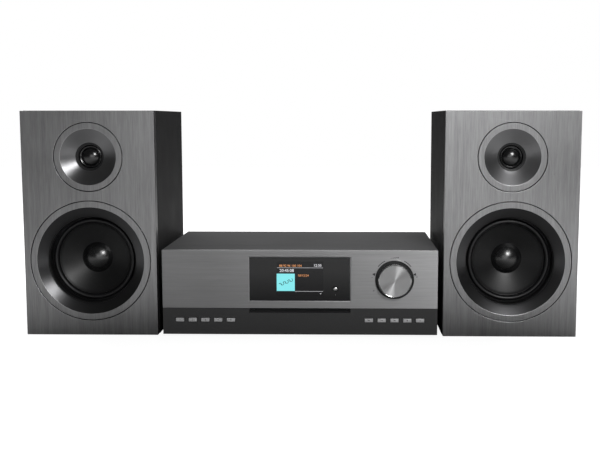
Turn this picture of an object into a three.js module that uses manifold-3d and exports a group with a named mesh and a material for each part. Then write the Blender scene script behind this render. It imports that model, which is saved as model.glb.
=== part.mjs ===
// Mini hifi system: a slot-in receiver between two bookshelf speakers.
// Millimetres. x runs to the right, y from the front to the back, z up. The receiver's
// upper fascia lies in the plane y = 0 until the whole group is centred at the end.
import * as THREE from 'three';
import { mergeVertices } from 'three/addons/utils/BufferGeometryUtils.js';
import Module from 'manifold-3d';

const wasm = await Module();
wasm.setup();

const gap = 0.3; // between pieces that touch

const receiver = { width: 340, height: 108, depth: 194, footHeight: 2.5, skin: 1.5 };
const fascia = { splitZ: 35.8, thickness: 5, lowerSetBack: 0.8 };
const display = { halfWidth: 62.1, bottom: 45.1, top: 98.9, y: 0.3, thickness: 2 };
const lcd = { x: 0.4, rise: 0.7, width: 69.2, height: 50.2, thickness: 3.2, carrierWidth: 80 };
const power = { x: 44, z: 60.1, radius: 3 };
const slot = { halfWidth: 62.5, bottom: 30 };
const keys = { firstX: 85.5, pitch: 15.8, count: 5, z: 20.8, width: 10.2, height: 4.6, proud: 1 };
const knob = { x: 116.7, z: 71.8, radius: 20.4, reach: 12, clearance: 1, recess: 23.8, recessDepth: 3 };
const encoder = { shaft: 3, bushing: 5.7, halfWidth: 8, front: 6 };
const board = { front: 13, thickness: 1.6, switchLength: 3.5 };
const loader = { halfWidth: 70, front: 18, back: 160, deckZ: 18, roofZ: 40, wall: 1.6 };
const disc = { y: 78 };
const posts = { reach: 12, radius: 5 };

const speaker = { width: 165, height: 278.6, depth: 190, frontY: 4.2, centreX: 259.25 };
const box = { wall: 12, baffle: 12, reveal: 0.4 };
const woofer = { z: 93.5, trimRadius: 74.4, hole: 62, rebate: 4 };
const tweeter = { z: 222, trimRadius: 42.1, hole: 35, rebate: 4 };
const port = { z: 215, radius: 20, shoulder: 7, length: 84 };
const cup = { z: 62, halfWidth: 31, halfHeight: 21, depth: 22, rim: 4, wall: 3,
  postX: [-12, 12], spacerX: [-24, 24] };

const half = receiver.width / 2;
const floorZ = receiver.footHeight;
const rearFace = receiver.depth;
const beyond = 9; // how far a cutter reaches past what it cuts

const finish = {
  brushed: { color: 0x8a8b8d, roughness: 0.38, metalness: 0.9 },
  dark: { color: 0x35363a, roughness: 0.55, metalness: 0.3 },
  vinyl: { color: 0x2e2f31, roughness: 0.6, metalness: 0.0 },
  gloss: { color: 0x0d0e10, roughness: 0.08, metalness: 0.0 },
  knob: { color: 0xb4b6b9, roughness: 0.25, metalness: 1.0 },
  key: { color: 0x9b9c9e, roughness: 0.45, metalness: 0.2 },
  plastic: { color: 0x17181a, roughness: 0.5, metalness: 0.0 },
  rubber: { color: 0x101112, roughness: 0.75, metalness: 0.0 },
  steel: { color: 0xa8abad, roughness: 0.35, metalness: 0.9 },
  board: { color: 0x1f5a38, roughness: 0.6, metalness: 0.0 },
  ferrite: { color: 0x26272a, roughness: 0.7, metalness: 0.1 },
  copper: { color: 0xa5622f, roughness: 0.4, metalness: 0.8 },
};

const model = new THREE.Group();

// ---- Building blocks ----

// The volume under a triangle list, which is negative where its faces point inwards.
function signedVolume(positions, triangles) {
  const corner = (i) => new THREE.Vector3().fromArray(positions, 3 * triangles[i]);
  let sum = 0;
  for (let i = 0; i < triangles.length; i += 3) {
    sum += corner(i).dot(corner(i + 1).cross(corner(i + 2)));
  }
  return sum / 6;
}

// One closed body from a geometry, with its doubled corners merged.
function solid(geometry) {
  geometry.deleteAttribute('normal');
  geometry.deleteAttribute('uv');
  const merged = mergeVertices(geometry, 1e-4);
  const index = merged.index.array;
  const triangles = [];
  for (let i = 0; i < index.length; i += 3) {
    const [a, b, c] = [index[i], index[i + 1], index[i + 2]];
    if (a !== b && b !== c && c !== a) triangles.push(a, b, c);
  }
  const positions = merged.attributes.position.array;
  if (signedVolume(positions, triangles) < 0) triangles.reverse();
  return new wasm.Manifold(new wasm.Mesh({
    numProp: 3,
    vertProperties: new Float32Array(positions),
    triVerts: new Uint32Array(triangles),
  }));
}

function block(x0, x1, y0, y1, z0, z1) {
  const geometry = new THREE.BoxGeometry(x1 - x0, y1 - y0, z1 - z0);
  geometry.translate((x0 + x1) / 2, (y0 + y1) / 2, (z0 + z1) / 2);
  return solid(geometry);
}

// A closed [radius, distance] outline turned about the Y axis through (x, z).
function turnedY(outline, x, z, segments = 24, y = 0) {
  const points = [...outline, outline[0]].map(([r, d]) => new THREE.Vector2(r, d));
  const geometry = new THREE.LatheGeometry(points, segments);
  geometry.translate(x, y, z);
  return solid(geometry);
}

// The same about the Z axis through (x, y), with heights in place of distances.
function turnedZ(outline, x, y, segments = 24) {
  const points = [...outline, outline[0]].map(([r, h]) => new THREE.Vector2(r, h));
  const geometry = new THREE.LatheGeometry(points, segments);
  geometry.rotateX(Math.PI / 2);
  geometry.translate(x, y, 0);
  return solid(geometry);
}

function rodY(radius, y0, y1, x, z, segments = 20) {
  return turnedY([[0, y0], [radius, y0], [radius, y1], [0, y1]], x, z, segments);
}

function rodZ(radius, z0, z1, x, y, segments = 20) {
  return turnedZ([[0, z0], [radius, z0], [radius, z1], [0, z1]], x, y, segments);
}

function rodX(radius, x0, x1, y, z, segments = 12) {
  const geometry = new THREE.CylinderGeometry(radius, radius, x1 - x0, segments);
  geometry.rotateZ(Math.PI / 2);
  geometry.translate((x0 + x1) / 2, y, z);
  return solid(geometry);
}

const join = (pieces) => pieces.reduce((a, b) => a.add(b));
const cut = (body, tools) => tools.reduce((a, b) => a.subtract(b), body);

function place(name, body, look) {
  const mesh = body.getMesh();
  const geometry = new THREE.BufferGeometry();
  geometry.setAttribute('position', new THREE.BufferAttribute(mesh.vertProperties, 3));
  geometry.setIndex(new THREE.BufferAttribute(mesh.triVerts, 1));
  geometry.computeVertexNormals();
  const node = new THREE.Mesh(geometry, new THREE.MeshStandardMaterial(finish[look]));
  node.name = name;
  model.add(node);
}

// ---- Receiver: housing ----

const chassis = { front: 5.8, back: 191.7, side: 1.3, sideTop: 16, bossRadius: 3.5, bossTop: 10 };
const bottomVent = { y: [60, 110], x: [-135, -108, 108, 135], halfWidth: 9, length: 4 };
const mainBoardScrews = { x: [86, 154], y: [36, 174] };
const feet = { x: 140, frontY: 25, rearY: 170, radius: 12 };

function housing() {
  const edge = half - receiver.skin - gap;
  const { front, back } = chassis;
  const top = floorZ + receiver.skin;
  const vents = [];
  for (const y of bottomVent.y) {
    for (const x of bottomVent.x) {
      vents.push(block(x - bottomVent.halfWidth, x + bottomVent.halfWidth, y, y + bottomVent.length,
        -beyond, top + beyond));
    }
  }
  const sides = [block(-edge, chassis.side - edge, front, back, floorZ, chassis.sideTop),
    block(edge - chassis.side, edge, front, back, floorZ, chassis.sideTop)];
  const bosses = [];
  for (const x of mainBoardScrews.x) {
    for (const y of mainBoardScrews.y) {
      bosses.push(rodZ(chassis.bossRadius, top - 0.2, chassis.bossTop, x, y, 12));
    }
  }
  const sheet = block(-edge, edge, front, back, floorZ, top);
  place('base_chassis', join([cut(sheet, vents), ...sides, ...bosses]), 'steel');

  const coverFront = fascia.thickness + gap;
  const coverBack = rearFace - rear.thickness - gap;
  const shell = block(-half, half, coverFront, coverBack, floorZ, receiver.height);
  const inside = block(-half + receiver.skin, half - receiver.skin, 0, rearFace + beyond,
    -beyond, receiver.height - receiver.skin);
  place('top_cover', cut(shell, [inside]), 'vinyl');

  for (const [side, x] of [['left', -feet.x], ['right', feet.x]]) {
    for (const [end, y] of [['front', feet.frontY], ['rear', feet.rearY]]) {
      place(`foot_${end}_${side}`, rodZ(feet.radius, 0, floorZ - gap, x, y), 'rubber');
    }
  }
}

const rear = { thickness: 1.7, socketZ: 78, aerialX: -20, lineX: [30, 48] };
const rearVent = { count: 9, firstX: -84, pitch: 8, width: 3, bottom: 62, top: 92 };
const terminals = { x: 100, z: 33, halfWidth: 28, halfHeight: 13, flange: 4, postX: [-18, -6, 6, 18] };
const inlet = { x: -138, z: 30, halfWidth: 11, halfHeight: 8, flange: 3, pinX: [-5, 5],
  socketHalfWidth: 8.5, socketHalfHeight: 5, socketDepth: 8 };

function rearPanel() {
  const back = rearFace;
  const front = back - rear.thickness;
  const plate = block(-half, half, front, back, floorZ, receiver.height);
  const hole = (part) => block(part.x - part.halfWidth - gap, part.x + part.halfWidth + gap,
    front - beyond, back + beyond, part.z - part.halfHeight - gap, part.z + part.halfHeight + gap);
  const vents = [];
  for (let i = 0; i < rearVent.count; i += 1) {
    const x = rearVent.firstX + i * rearVent.pitch;
    vents.push(block(x, x + rearVent.width, front - beyond, back + beyond, rearVent.bottom, rearVent.top));
  }
  const aerialOutline = [[0, -1], [4.8, -1], [4.8, 9], [2, 9], [2, 1], [0, 1]];
  const lineOutline = [[0, -1], [5.5, -1], [5.5, 1], [4.2, 1], [4.2, 8], [1.6, 8], [1.6, 2], [0, 2]];
  const aerial = turnedY(aerialOutline, rear.aerialX, rear.socketZ, 16, back);
  const sockets = rear.lineX.map((x) => turnedY(lineOutline, x, rear.socketZ, 16, back));
  const drilled = cut(plate, [hole(terminals), hole(inlet), ...vents]);
  place('rear_panel', join([drilled, aerial, ...sockets]), 'dark');

  const t = terminals;
  const flangeX = t.halfWidth + t.flange;
  const flangeZ = t.halfHeight + t.flange;
  const flange = block(t.x - flangeX, t.x + flangeX, front - 5.3, front - gap,
    t.z - flangeZ, t.z + flangeZ);
  const neck = block(t.x - t.halfWidth, t.x + t.halfWidth, front - 2.3, back + 2,
    t.z - t.halfHeight, t.z + t.halfHeight);
  const binders = t.postX.map((x) => rodY(posts.radius, back + 1, back + posts.reach, t.x + x, t.z, 16));
  place('speaker_terminals', join([flange, neck, ...binders]), 'plastic');

  const m = inlet;
  const inletX = m.halfWidth + m.flange;
  const inletZ = m.halfHeight + m.flange + 1;
  const inletFlange = block(m.x - inletX, m.x + inletX, front - 9.3, front - gap,
    m.z - inletZ, m.z + inletZ);
  const body = block(m.x - m.halfWidth, m.x + m.halfWidth, front - 2.3, back + 1.5,
    m.z - m.halfHeight, m.z + m.halfHeight);
  const socket = block(m.x - m.socketHalfWidth, m.x + m.socketHalfWidth, back - m.socketDepth,
    back + beyond, m.z - m.socketHalfHeight, m.z + m.socketHalfHeight);
  const pins = m.pinX.map((x) => rodY(1.2, back - m.socketDepth - 1, back - 0.5, m.x + x, m.z, 12));
  place('mains_inlet', join([cut(join([inletFlange, body]), [socket]), ...pins]), 'plastic');
}

// ---- Receiver: front ----

function frontPanels() {
  const window = block(-display.halfWidth - gap, display.halfWidth + gap, -beyond, beyond,
    display.bottom - gap, display.top + gap);
  const recess = rodY(knob.recess, -beyond, knob.recessDepth, knob.x, knob.z, 32);
  const bore = rodY(encoder.bushing + gap, -beyond, beyond, knob.x, knob.z);
  const upper = block(-half, half, 0, fascia.thickness, fascia.splitZ, receiver.height);
  place('upper_fascia', cut(upper, [window, recess, bore]), 'brushed');

  const lower = block(-half, half, fascia.lowerSetBack, fascia.thickness, floorZ, fascia.splitZ - gap);
  const notch = block(-slot.halfWidth, slot.halfWidth, -beyond, beyond, slot.bottom,
    fascia.splitZ + beyond);
  const holes = [];
  for (const x of keyCentres()) {
    holes.push(block(x - keys.width / 2 - gap, x + keys.width / 2 + gap, -beyond, beyond,
      keys.z - keys.height / 2 - gap, keys.z + keys.height / 2 + gap));
  }
  place('lower_fascia', cut(lower, [notch, ...holes]), 'dark');

  const glass = block(-display.halfWidth, display.halfWidth, display.y,
    display.y + display.thickness, display.bottom, display.top);
  const buttonHole = rodY(power.radius + gap, -beyond, beyond, power.x, power.z, 32);
  place('display_window', cut(glass, [buttonHole]), 'gloss');

  const lcdFront = display.y + display.thickness + 0.5;
  const centreZ = (display.bottom + display.top) / 2 + lcd.rise;
  const panel = block(lcd.x - lcd.width / 2, lcd.x + lcd.width / 2, lcdFront,
    lcdFront + lcd.thickness, centreZ - lcd.height / 2, centreZ + lcd.height / 2);
  const carrier = block(-lcd.carrierWidth / 2, lcd.carrierWidth / 2, lcdFront + lcd.thickness - 0.2,
    lcdFront + lcd.thickness + board.thickness, centreZ - 26, centreZ + 26);
  place('display_module', join([panel, carrier]), 'board');
}

function keyCentres() {
  const centres = [];
  for (let i = 0; i < keys.count; i += 1) {
    centres.push(-keys.firstX - keys.pitch * (keys.count - 1 - i));
  }
  for (let i = 0; i < keys.count; i += 1) centres.push(keys.firstX + keys.pitch * i);
  return centres;
}

function buttons() {
  const capFront = fascia.lowerSetBack - keys.proud;
  const flangeFront = fascia.thickness + 0.4;
  const stemEnd = board.front - board.switchLength - 0.9;
  keyCentres().forEach((x, i) => {
    const cap = block(x - keys.width / 2, x + keys.width / 2, capFront, flangeFront + 0.2,
      keys.z - keys.height / 2, keys.z + keys.height / 2);
    const flange = block(x - keys.width / 2 - 1.2, x + keys.width / 2 + 1.2, flangeFront,
      flangeFront + 1, keys.z - keys.height / 2 - 1, keys.z + keys.height / 2 + 1);
    const stem = block(x - 1.5, x + 1.5, flangeFront + 0.8, stemEnd, keys.z - 1.2, keys.z + 1.2);
    const row = i < keys.count ? 'preset' : 'transport';
    place(`${row}_button_${(i % keys.count) + 1}`, join([cap, flange, stem]), 'key');
  });

  const r = power.radius;
  const flangeStart = display.y + display.thickness + 0.4;
  const outline = [[0, -1], [1.1, -0.85], [2.1, -0.4], [r, 0.5], [r, flangeStart],
    [r + 1.2, flangeStart], [r + 1.2, flangeStart + 1.2], [1.5, flangeStart + 1.2],
    [1.5, stemEnd + 0.2], [0, stemEnd + 0.2]];
  place('power_button', turnedY(outline, power.x, power.z), 'knob');
}

function volumeKnob() {
  const { x, z, radius: r, reach, clearance } = knob;
  const hub = 6;
  const bore = encoder.shaft + gap;
  const cap = [[0, -reach], [r - 1.2, -reach], [r, 1.2 - reach], [r, -clearance], [r - 1.8, -clearance],
    [r - 1.8, 2.4 - reach], [hub, 2.4 - reach], [hub, -clearance], [bore, -clearance],
    [bore, 3.2 - reach], [0, 3.2 - reach]];
  place('knob_cap', turnedY(cap, x, z, 32), 'knob');
  place('encoder_shaft', rodY(encoder.shaft, 3.5 - reach, 12, x, z), 'steel');

  const rotor = [[bore, 3.6], [4.2, 3.6], [4.2, 7.6], [5.8, 7.6], [5.8, 9.6], [bore, 9.6]];
  place('encoder_rotor', turnedY(rotor, x, z), 'plastic');

  const { halfWidth: w, front } = encoder;
  const housingBox = block(x - w, x + w, front, board.front - gap, z - w, z + w);
  const bushing = rodY(encoder.bushing, 3.3, front + 0.2, x, z);
  const hollow = [[0, -1], [4.5, -1], [4.5, 7.3], [6.2, 7.3], [6.2, 9.9], [3.4, 9.9], [3.4, 20],
    [0, 20]];
  place('encoder_body', cut(join([housingBox, bushing]), [turnedY(hollow, x, z)]), 'steel');
}

// ---- Receiver: electronics and disc drive ----

function controlBoard() {
  const outline = new THREE.Shape();
  const corners = [[-160, 8], [160, 8], [160, 27.5], [145, 27.5], [145, 97], [36, 97], [36, 40],
    [75, 40], [75, 27.5], [-160, 27.5]];
  outline.setFromPoints(corners.map(([x, z]) => new THREE.Vector2(x, z)));
  const sheet = new THREE.ExtrudeGeometry(outline, { depth: board.thickness, bevelEnabled: false });
  sheet.rotateX(Math.PI / 2);
  sheet.translate(0, board.front + board.thickness, 0);
  const switchFront = board.front - board.switchLength;
  const parts = [solid(sheet)];
  for (const [x, z] of [...keyCentres().map((c) => [c, keys.z]), [power.x, power.z]]) {
    parts.push(block(x - 3, x + 3, switchFront, board.front + 0.2, z - 3, z + 3));
  }
  const supports = [[-156, 11], [0, 11], [156, 11], [52, 92], [140, 92]];
  for (const [x, z] of supports) {
    parts.push(rodY(2.5, fascia.thickness + gap, board.front + 0.2, x, z, 12));
  }
  place('control_board', join(parts), 'board');
}

function mainBoard() {
  const base = 10.3;
  const under = base + 1; // parts stand a little into the board
  const sheet = block(80, 160, 30, 180, base, base + board.thickness);
  const capacitors = [100, 122].map((x) => rodZ(9, under, base + 27, x, 158));
  const heatSink = [block(140, 146, 90, 150, under, base + 40)];
  for (let y = 92; y < 150; y += 10) heatSink.push(block(145, 155, y, y + 3, under, base + 40));
  const tuner = block(92, 124, 50, 92, under, base + 9);
  const chips = [106, 124].map((y) => block(94, 118, y, y + 9, under, base + 6));
  place('main_board', join([sheet, ...capacitors, ...heatSink, tuner, ...chips]), 'board');

  const floor = floorZ + receiver.skin + gap;
  const core = block(-155, -95, 122, 158, floor, 52);
  const winding = block(-146, -104, 112, 168, 11, 45);
  const lugs = block(-160, -90, 128, 152, floor, floor + 1.6);
  place('power_transformer', join([core, winding, lugs]), 'copper');
}

const roller = { y: 26, z: 25.7, radius: 4, axle: 1.5, halfWidth: 58 };
const sled = { halfWidth: 16, front: 100, back: 122, bottom: 21.5, top: 27.5, railX: [-13, 13] };

function discDrive() {
  const { halfWidth: w, front, back, deckZ, roofZ, wall } = loader;
  const deckTop = deckZ + wall;
  const deck = block(-w, w, front, back, deckZ, deckTop);
  const roof = block(-w, w, front, back, roofZ, roofZ + wall);
  const walls = [block(-w, -w + wall, front, back, deckZ, roofZ + 1),
    block(w - wall, w, front, back, deckZ, roofZ + 1),
    block(-w, w, back - wall, back, deckZ, roofZ + 1)];
  const guide = block(-w, w, front, front + 4, 36, roofZ + 1);
  const rails = sled.railX.map((x) => block(x - 1, x + 1, 95, back - 1, deckTop - 0.2, 21.2));
  const legs = [];
  for (const x of [-w, w - 8]) {
    for (const y of [front, back - 8]) {
      legs.push(block(x, x + 8, y, y + 8, floorZ + receiver.skin + gap, deckZ + 0.2));
    }
  }
  const motor = rodZ(11, 8, deckZ + 0.2, 0, disc.y);
  const spindleHole = rodZ(2.4, 11.5, deckTop + 1, 0, disc.y, 16);
  const clamperHole = rodZ(8, roofZ - 1, roofZ + beyond, 0, disc.y);
  const sledSlot = block(-9, 9, 98, 150, deckZ - 1, deckTop + 1);
  const roofWindow = block(-50, 50, 110, 150, roofZ - 1, roofZ + beyond);
  const deckWindows = [block(-50, -20, 36, 100, deckZ - 1, deckTop + 1),
    block(20, 50, 36, 100, deckZ - 1, deckTop + 1)];
  const axleHole = rodX(roller.axle + gap, -w - 1, w + 1, roller.y, roller.z);
  place('cd_loader_frame', cut(join([deck, roof, ...walls, guide, ...rails, ...legs, motor]),
    [spindleHole, clamperHole, sledSlot, roofWindow, ...deckWindows, axleHole]), 'steel');

  const spindle = [[0, 12.5], [2, 12.5], [2, 26.2], [15, 26.2], [15, 28.2], [7.3, 28.2], [6, 29.7],
    [0, 29.7]];
  place('cd_spindle', turnedZ(spindle, 0, disc.y), 'plastic');
  const clamper = [[0, 36], [14, 36], [14, 38.4], [7, 38.4], [7, 42.5], [11, 42.5], [11, 44], [0, 44]];
  place('cd_clamper', turnedZ(clamper, 0, disc.y), 'plastic');

  const carriage = block(-sled.halfWidth, sled.halfWidth, sled.front, sled.back, sled.bottom, sled.top);
  const lens = rodZ(4, sled.top - 0.5, sled.top + 1.2, 0, (sled.front + sled.back) / 2, 16);
  place('cd_pickup', join([carriage, lens]), 'plastic');
  const tyre = rodX(roller.radius, -roller.halfWidth, roller.halfWidth, roller.y, roller.z);
  const axle = rodX(roller.axle, -w + 0.6, w - 0.6, roller.y, roller.z);
  place('cd_feed_roller', join([tyre, axle]), 'rubber');
}

// ---- Speakers ----

function speakerBox(side, x) {
  const w = speaker.width / 2;
  const front = speaker.frontY;
  const back = front + speaker.depth;
  const shellFront = front + box.baffle + gap;
  const shell = block(x - w, x + w, shellFront, back, 0, speaker.height);
  const inside = block(x - w + box.wall, x + w - box.wall, 0, back - box.wall,
    box.wall, speaker.height - box.wall);
  const portHole = rodY(port.radius + port.shoulder + 0.5, back - box.wall - beyond, back + beyond,
    x, port.z, 24);
  const cupHole = block(x - cup.halfWidth - gap, x + cup.halfWidth + gap, back - box.wall - beyond,
    back + beyond, cup.z - cup.halfHeight - gap, cup.z + cup.halfHeight + gap);
  place(`${side}_cabinet`, cut(shell, [inside, portHole, cupHole]), 'vinyl');

  const r = box.reveal;
  const panel = block(x - w + r, x + w - r, front, front + box.baffle, r, speaker.height - r);
  const openings = [];
  for (const driver of [woofer, tweeter]) {
    openings.push(rodY(driver.trimRadius + gap, front - beyond, front + driver.rebate, x, driver.z, 32));
    openings.push(rodY(driver.hole, front - beyond, front + box.baffle + beyond, x, driver.z, 32));
  }
  place(`${side}_baffle`, cut(panel, openings), 'brushed');
  portTube(side, x, back);
  terminalCup(side, x, back);
}

// A flared tube whose flange lies on the back of the box.
function portTube(side, x, back) {
  const bore = port.radius;
  const neck = bore + port.shoulder;
  const inner = back - port.length;
  const outline = [[bore, inner], [bore, back - 10], [bore + 2, back - 4], [bore + 6, back + 1.2],
    [bore + 10, back + 1.2], [bore + 10, back + gap], [neck, back + gap], [neck, back - 8],
    [bore + 2, back - 14], [bore + 2, inner]];
  place(`${side}_port_tube`, turnedY(outline, x, port.z), 'plastic');
}

// The well with its two posts, and the crossover that it carries inside the box.
function terminalCup(side, x, back) {
  const { z, halfWidth: w, halfHeight: h, rim: lip, wall } = cup;
  const bottom = back - cup.depth;
  const rim = block(x - w - lip, x + w + lip, back + gap, back + 2.3, z - h - lip, z + h + lip);
  const tub = block(x - w, x + w, bottom, back + 1, z - h, z + h);
  const well = block(x - w + wall, x + w - wall, bottom + 5, back + beyond, z - h + wall, z + h - wall);
  const binders = cup.postX.map((dx) => rodY(4.5, bottom + 4, back + 1.8, x + dx, z, 16));
  const spacers = cup.spacerX.map((dx) => rodY(2.5, bottom - 6, bottom + 1, x + dx, z, 12));
  const crossover = block(x - w + 2, x + w - 2, bottom - 7.6, bottom - 6, z - h + 1, z + h - 1);
  const coil = rodY(11, bottom - 19, bottom - 7, x - 14, z, 16);
  const capacitor = block(x + 3, x + 26, bottom - 17, bottom - 7, z - 6, z + 8);
  const shell = cut(join([rim, tub]), [well]);
  place(`${side}_terminal_cup`,
    join([shell, ...binders, ...spacers, crossover, coil, capacitor]), 'plastic');
}

// Outlines of the drivers: [radius, depth behind the baffle's front].
const wooferOutlines = {
  woofer_trim: [[74.4, 0], [66.1, 0], [60, 3.2], [54.5, 8], [54.5, 9.6], [61.4, 9.6], [61.4, 3.7],
    [74.4, 3.7]],
  woofer_basket: [[61.4, 9.9], [54, 9.9], [54, 22.7], [51, 22.7], [36, 55], [16.5, 55], [16.5, 58],
    [40, 58], [56.5, 25], [56.5, 12.9], [61.4, 12.9]],
  woofer_surround: [[53.2, 21.5], [51.6, 19.4], [49.3, 17.4], [47, 19.4], [45, 22.3], [45, 23.1],
    [47.8, 20.2], [49.3, 18.8], [50.8, 20.2], [53.2, 22.4]],
  woofer_cone: [[0, 21.5], [11, 23.6], [19.8, 29.3], [44.5, 23], [44.5, 24.2], [13.4, 32], [13.4, 62],
    [12.4, 62], [12.4, 28], [0, 23]],
  woofer_magnet: [[0, 53], [11.5, 53], [11.5, 80], [20, 80], [20, 64], [14.2, 64], [14.2, 58.3],
    [36, 58.3], [36, 64], [40, 64], [40, 86], [0, 86]],
};
const tweeterOutlines = {
  tweeter_horn: [[42.1, 0], [34.4, 0], [16.6, 7.5], [15, 13], [34.4, 13], [34.4, 3.7], [42.1, 3.7]],
  tweeter_dome: [[0, 8.6], [6.5, 9.9], [11.5, 13.6], [14.4, 13.6], [14.4, 14.4], [12.9, 14.4],
    [12.9, 19], [12.1, 19], [12.1, 14.4], [0, 9.8]],
  tweeter_magnet: [[0, 16], [11.4, 16], [11.4, 26], [13.8, 26], [13.8, 15.4], [15.2, 15.4],
    [15.2, 13.3], [34, 13.3], [34, 17], [25, 17], [25, 34], [0, 34]],
};
const driverFinish = { woofer_trim: 'brushed', woofer_basket: 'plastic', woofer_surround: 'rubber',
  woofer_cone: 'plastic', woofer_magnet: 'ferrite', tweeter_horn: 'brushed', tweeter_dome: 'gloss',
  tweeter_magnet: 'ferrite' };

function drivers(side, x) {
  for (const [outlines, z] of [[wooferOutlines, woofer.z], [tweeterOutlines, tweeter.z]]) {
    for (const [name, outline] of Object.entries(outlines)) {
      const segments = /trim|horn/.test(name) ? 32 : 24;
      const body = turnedY(outline, x, z, segments, speaker.frontY);
      place(`${side}_${name}`, body, driverFinish[name]);
    }
  }
}

housing();
rearPanel();
frontPanels();
buttons();
volumeKnob();
controlBoard();
mainBoard();
discDrive();
for (const [side, sign] of [['left', -1], ['right', 1]]) {
  speakerBox(side, sign * speaker.centreX);
  drivers(side, sign * speaker.centreX);
}

// The knob's face is foremost and the receiver's speaker posts are rearmost.
model.position.y = -(rearFace + posts.reach - knob.reach) / 2;

export default model;
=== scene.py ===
import math
import bpy
from mathutils import Matrix, Vector


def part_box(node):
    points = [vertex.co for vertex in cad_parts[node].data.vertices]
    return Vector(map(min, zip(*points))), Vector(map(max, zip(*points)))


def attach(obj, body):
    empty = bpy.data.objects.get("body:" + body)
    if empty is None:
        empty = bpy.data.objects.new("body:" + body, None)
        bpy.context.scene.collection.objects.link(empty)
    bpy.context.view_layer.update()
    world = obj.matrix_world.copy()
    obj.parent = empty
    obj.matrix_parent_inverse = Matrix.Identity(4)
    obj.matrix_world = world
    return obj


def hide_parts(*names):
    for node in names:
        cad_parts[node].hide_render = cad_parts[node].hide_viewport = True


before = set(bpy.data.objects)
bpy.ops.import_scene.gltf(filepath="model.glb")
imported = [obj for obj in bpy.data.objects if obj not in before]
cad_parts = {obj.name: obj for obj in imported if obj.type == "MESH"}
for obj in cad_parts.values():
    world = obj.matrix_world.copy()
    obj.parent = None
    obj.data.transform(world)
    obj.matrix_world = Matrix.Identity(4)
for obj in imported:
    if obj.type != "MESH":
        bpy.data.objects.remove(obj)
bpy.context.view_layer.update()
mm = 0.001
sides = ("left", "right")

studio = {
    "cameraPlace": (0.05825, -1.23437, 0.26766),
    "cameraDown": 6.43,  # degrees below level
    "cameraTurn": 1.15,  # degrees to the left
    "lens": 56.18,
    "sideShift": -0.0473,
    "aim": (0, 0, 0.12),  # where every light points
    "floorSize": 8,
    "floorDrop": 0.0002,
    "floorRoughness": 0.9,
    "floorShine": 0.1,
    "floorNear": {"colour": 0.14, "white": 0.93},  # its own tone, and its lift for the camera
    "floorFar": {"colour": 0.85, "white": 1.0},
    "fadeStart": 0.26,
    "fadeEnd": 0.60,
    "skyLow": 0.055,  # what the metal reflects near the horizon, and overhead
    "skyHigh": 0.07,
    "skyRise": (-0.1, 0.9),  # heights between which the sky's tone changes
}

# name, place, width and height, power
lights = (
    ("keyLight", (0.62, -1.53, 0.86), (0.46, 0.36), 10),
    ("frontPanel", (0.02, -2.6, 0.42), (1.5, 0.8), 4.3),
    ("topLight", (0.0, 0.55, 1.9), (2.4, 1.6), 28),
)


def makeCamera():
    data = bpy.data.cameras.new("camera")
    data.lens = studio["lens"]
    data.shift_x = studio["sideShift"]
    camera = bpy.data.objects.new("camera", data)
    camera.location = studio["cameraPlace"]
    pitch = math.radians(90 - studio["cameraDown"])
    camera.rotation_euler = (pitch, 0, math.radians(studio["cameraTurn"]))
    bpy.context.scene.collection.objects.link(camera)
    bpy.context.scene.camera = camera


def addLight(name, place, size, power):
    data = bpy.data.lights.new(name, "AREA")
    data.shape = "RECTANGLE"
    data.size, data.size_y = size
    data.energy = power
    light = bpy.data.objects.new(name, data)
    light.location = place
    light.rotation_euler = (Vector(studio["aim"]) - Vector(place)).to_track_quat("-Z", "Y").to_euler()
    bpy.context.scene.collection.objects.link(light)


def feed(tree, node, **inputs):
    # a value is set on the socket itself, another node's output is linked to it
    for label, value in inputs.items():
        socket = node.inputs[label.replace("_", " ")]
        if isinstance(value, bpy.types.NodeSocket):
            tree.links.new(value, socket)
        else:
            socket.default_value = value


def addNode(tree, kind, **inputs):
    node = tree.nodes.new("ShaderNode" + kind)
    feed(tree, node, **inputs)
    return node


def addMath(tree, operation, first, second=0.0):
    node = tree.nodes.new("ShaderNodeMath")
    node.operation = operation
    for socket, value in zip(node.inputs, (first, second)):
        if isinstance(value, (int, float)):
            socket.default_value = value
        else:
            tree.links.new(value, socket)
    return node.outputs[0]


def addRange(tree, value, low, high, **ends):
    # 0 at low and below, 1 at high and above, unless ends says otherwise
    return addNode(tree, "MapRange", Value=value, From_Min=low, From_Max=high, **ends).outputs["Result"]


def makeWorld():
    world = bpy.data.worlds.new("studioSky")
    bpy.context.scene.world = world
    world.use_nodes = True
    tree = world.node_tree
    tree.nodes.clear()
    place = addNode(tree, "TexCoord")
    split = addNode(tree, "SeparateXYZ", Vector=place.outputs["Generated"])
    low, high = studio["skyRise"]
    rise = addRange(tree, split.outputs["Z"], low, high, To_Min=studio["skyLow"], To_Max=studio["skyHigh"])
    sky = addNode(tree, "Background", Strength=rise)
    seen = addNode(tree, "Background", Color=(1, 1, 1, 1))
    path = addNode(tree, "LightPath")
    mix = addNode(tree, "MixShader", Fac=path.outputs["Is Camera Ray"])
    tree.links.new(sky.outputs[0], mix.inputs[1])
    tree.links.new(seen.outputs[0], mix.inputs[2])
    addNode(tree, "OutputWorld", Surface=mix.outputs[0])


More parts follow.
